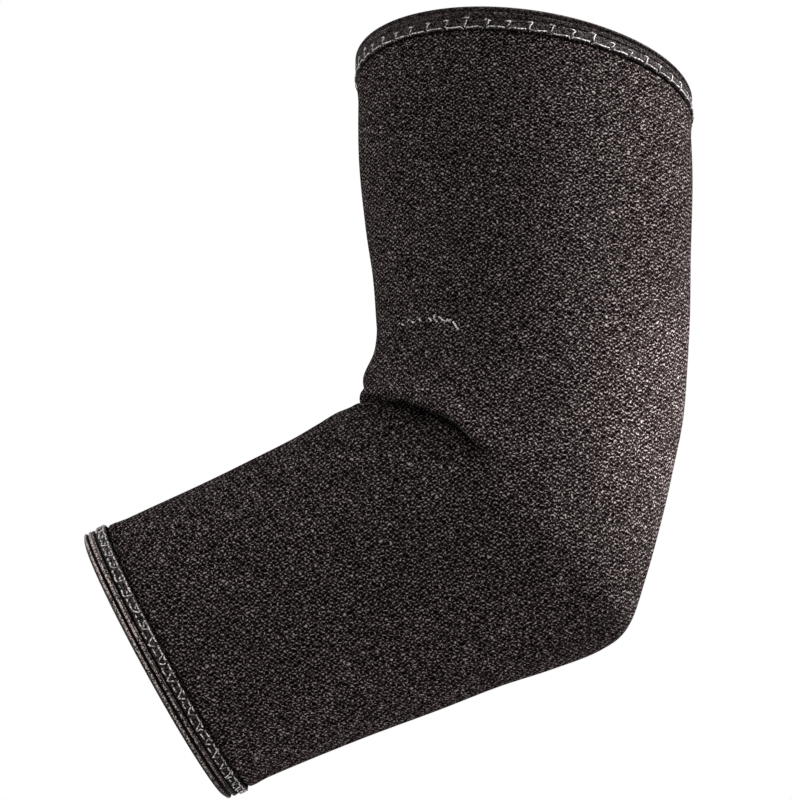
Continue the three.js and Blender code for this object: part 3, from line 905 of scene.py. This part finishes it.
class BRACE_OT_cover_stitch(bpy.types.Operator):
    """Sew the cover stitch that holds each tape"""

    bl_idname = "brace.cover_stitch"
    bl_label = "Cover stitch"

    def execute(self, context):
        for cover in named(COVERS, COVER_COLUMNS):
            self.sew_round(cover)
        return {"FINISHED"}

    def sew_round(self, cover):
        """One row of cover stitch, each stitch a little uneven."""
        threads = bpy.context.scene.brace_threads
        proud = bpy.context.scene.brace_tapes.proud
        edge_row = cover["edge_row"]
        rng = np.random.default_rng(threads.seed + edge_row)
        sleeve = the_sleeve()
        around, turn_at = sleeve.turn_along_edge(edge_row, TAPE_MIDDLE)
        count = round(around / getattr(threads, cover["pitch"]))
        runs = []
        for number in range(count):
            middle = degrees_from_inner(turn_at((number + 0.5) * around / count))
            reach = rng.uniform(cover["least"], cover["most"])
            for run in cover["inner"] if middle < INNER_STITCH_DEGREES else cover["outer"]:
                values = {name: column(run, STITCH_COLUMNS, name) for name in STITCH_COLUMNS}
                sway = {name: rng.normal(0, STITCH_SWAY[name], len(run)) for name in STITCH_COLUMNS}
                along = (number + values["along"] + sway["along"]) * around / count
                distance = STITCH_ANCHOR - (STITCH_ANCHOR - values["distance"]) * reach + sway["distance"]
                height = (values["over"] + sway["over"]) * proud
                runs.append(sleeve.near_edge(edge_row, distance * MM, turn_at(along % around), height))
        sew(cover["name"], runs, threads.gauge)


class BRACE_OT_dart(bpy.types.Operator):
    """Sew the short dart in the crook, with its uneven loops and the knot at each end"""

    bl_idname = "brace.dart"
    bl_label = "Dart threads"

    def execute(self, context):
        threads = context.scene.brace_threads
        rng = np.random.default_rng(threads.seed)
        sleeve = the_sleeve()
        turns, run = sleeve.dart_run()
        half = run[-1]
        count = 2 * round(half / threads.dart_pitch)
        pitch = 2 * half / count
        runs = []
        for number in range(count):
            reach = rng.uniform(*DART_REACH)
            nudge = rng.normal(0, DART_SWAY["along"], len(DART_LOOP)) + rng.normal(0, DART_SWAY["loop along"])
            from_middle = abs((number + 0.5) / count - 0.5) * 2
            sunk = DART_SUNK * max(0, DART_SHOWN_FROM - from_middle)
            lift = (rng.normal(0, DART_SWAY["height"], len(DART_LOOP)) - sunk) * MM
            along = -half + (number + column(DART_LOOP, DART_LOOP_COLUMNS, "along") + nudge) * pitch
            across = column(DART_LOOP, DART_LOOP_COLUMNS, "across") * reach
            across = across + rng.normal(0, DART_SWAY["loop across"])
            height = column(DART_LOOP, DART_LOOP_COLUMNS, "height") * MM + lift
            runs.append(self.points(sleeve, turns, run, along, across, height))
        share = np.linspace(0, 1, 5)
        for knot in named(DART_KNOT, DART_KNOT_COLUMNS):
            back = knot["back_from"] + (knot["back_to"] - knot["back_from"]) * share
            across = knot["across_from"] + (knot["across_to"] - knot["across_from"]) * share
            height = (KNOT_RISE * hump(share - 0.5, KNOT_SPAN) - KNOT_SUNK) * MM
            for side in (-1, 1):
                runs.append(self.points(sleeve, turns, run, side * (half - back * MM), across, height))
        sew("dart_threads", runs, threads.dart_gauge, "dart_seam")
        return {"FINISHED"}

    def points(self, sleeve, turns, run, along, across, height):
        """Points of a thread, from places along the dart and across it and heights over the skin."""
        turn = np.sign(along) * np.interp(np.abs(along), run, turns)
        dart = sleeve.dart_row(turn)
        row = dart + across * MM / size_of(sleeve.down(dart, turn))[..., 0]
        return sleeve.skin(row, turn) + sleeve.outward(row, turn) * height[..., None]


class BRACE_OT_declare_cloth(bpy.types.Operator):
    """Meant to say that the sleeve is a sheet of cloth, cut flat and then sewn and stretched over the arm; it
    does nothing
    """

    bl_idname = "brace.declare_cloth"
    bl_label = "Declare the cloth"

    def execute(self, context):
        return {"FINISHED"}


class BRACE_OT_studio(bpy.types.Operator):
    """Lay the pale floor and set the soft lights and the camera"""

    bl_idname = "brace.studio"
    bl_label = "Studio"

    def execute(self, context):
        self.lay_floor(context)
        self.light_room(context)
        self.set_camera(context)
        context.scene.view_settings.view_transform = "Standard"
        return {"FINISHED"}

    def lay_floor(self, context):
        material = new_material("matt_white_paper")
        tree = material.node_tree
        place = add_node(tree, "ShaderNodeTexCoord")
        fibres = add_node(tree, "ShaderNodeTexNoise", None, {"Scale": 1 / (8 * MM), "Detail": 2.0},
                          {"Vector": place.outputs["Object"]})
        tint = add_node(tree, "ShaderNodeValToRGB", None, None, {"Fac": fibres.outputs["Fac"]},
                        [(0.3, linear("#c4c2c0")), (0.7, linear("#cecccb"))])
        shader = add_node(tree, "ShaderNodeBsdfPrincipled", None, {"Roughness": 0.9},
                          {"Base Color": tint.outputs["Color"]})
        add_node(tree, "ShaderNodeOutputMaterial", None, None, {"Surface": shader.outputs["BSDF"]})
        bm = bmesh.new()
        bmesh.ops.create_grid(bm, x_segments=8, y_segments=8, size=FLOOR_REACH)
        bmesh.ops.translate(bm, verts=bm.verts, vec=(0, 0, -context.scene.brace_studio.floor_drop))
        piece_from(bm, "floor", material)

    def light_room(self, context):
        studio = context.scene.brace_studio
        world = bpy.data.worlds.new("white_room")
        world.use_nodes = True
        background = world.node_tree.nodes["Background"]
        background.inputs["Color"].default_value = (1, 1, 1, 1)
        background.inputs["Strength"].default_value = studio.surround
        context.scene.world = world
        for lamp in named(LAMPS, LAMP_COLUMNS):
            light = bpy.data.lights.new(lamp["name"], "AREA")
            light.shape = "DISK"
            light.size = lamp["size"]
            light.energy = getattr(studio, lamp["power"])
            light.spread = math.radians(LAMP_SPREAD)
            holder = bpy.data.objects.new(lamp["name"], light)
            holder.location = lamp["at"]
            holder.rotation_euler = (-Vector(lamp["at"])).to_track_quat("-Z", "Y").to_euler()
            bpy.context.collection.objects.link(holder)

    def set_camera(self, context):
        studio = context.scene.brace_studio
        camera = bpy.data.cameras.new("camera")
        camera.sensor_width = SENSOR_WIDTH
        camera.lens = camera.sensor_width * studio.distance / (studio.scale * max(PICTURE))
        camera.clip_start = 0.05
        camera.clip_end = 20
        viewer = bpy.data.objects.new("camera", camera)
        flat = math.cos(studio.elevation)
        back = Vector((math.sin(studio.azimuth) * flat, -math.cos(studio.azimuth) * flat,
                       math.sin(studio.elevation)))
        viewer.location = Vector((studio.aim_x, 0, studio.aim_z)) + back * studio.distance
        viewer.rotation_euler = (-back).to_track_quat("-Z", "Y").to_euler()
        bpy.context.collection.objects.link(viewer)
        context.scene.camera = viewer


class BRACE_PT_panel(bpy.types.Panel):
    """Sizes and buttons of the elbow brace"""

    bl_idname = "BRACE_PT_panel"
    bl_label = "Elbow Brace"
    bl_space_type = "VIEW_3D"
    bl_region_type = "UI"
    bl_category = "Elbow Brace"

    def draw(self, context):
        for operator in OPERATORS:
            self.layout.operator(operator.bl_idname)
        for name, group in GROUPS.items():
            box = self.layout.box()
            box.label(text=group.__doc__)
            for setting in group.__annotations__:
                box.prop(getattr(context.scene, name), setting)


GROUPS = {
    "brace_sleeve": BraceSleeveSizes,
    "brace_folds": BraceFoldSizes,
    "brace_tapes": BraceTapeSizes,
    "brace_threads": BraceThreadSizes,
    "brace_finishes": BraceFinishes,
    "brace_studio": BraceStudio,
}
OPERATORS = (
    BRACE_OT_sleeve,
    BRACE_OT_tapes,
    BRACE_OT_cover_stitch,
    BRACE_OT_dart,
    BRACE_OT_declare_cloth,
    BRACE_OT_studio,
)


def register():
    for group in GROUPS.values():
        bpy.utils.register_class(group)
    for name, group in GROUPS.items():
        setattr(bpy.types.Scene, name, PointerProperty(type=group))
    for operator in OPERATORS:
        bpy.utils.register_class(operator)
    bpy.utils.register_class(BRACE_PT_panel)


def unregister():
    bpy.utils.unregister_class(BRACE_PT_panel)
    for operator in reversed(OPERATORS):
        bpy.utils.unregister_class(operator)
    for name in GROUPS:
        delattr(bpy.types.Scene, name)
    for group in reversed(GROUPS.values()):
        bpy.utils.unregister_class(group)


def main():
    register()
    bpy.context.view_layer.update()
    bpy.ops.brace.sleeve()
    bpy.ops.brace.tapes()
    bpy.ops.brace.cover_stitch()
    bpy.ops.brace.dart()
    bpy.ops.brace.declare_cloth()
    bpy.ops.brace.studio()


if __name__ == "__main__":
    main()
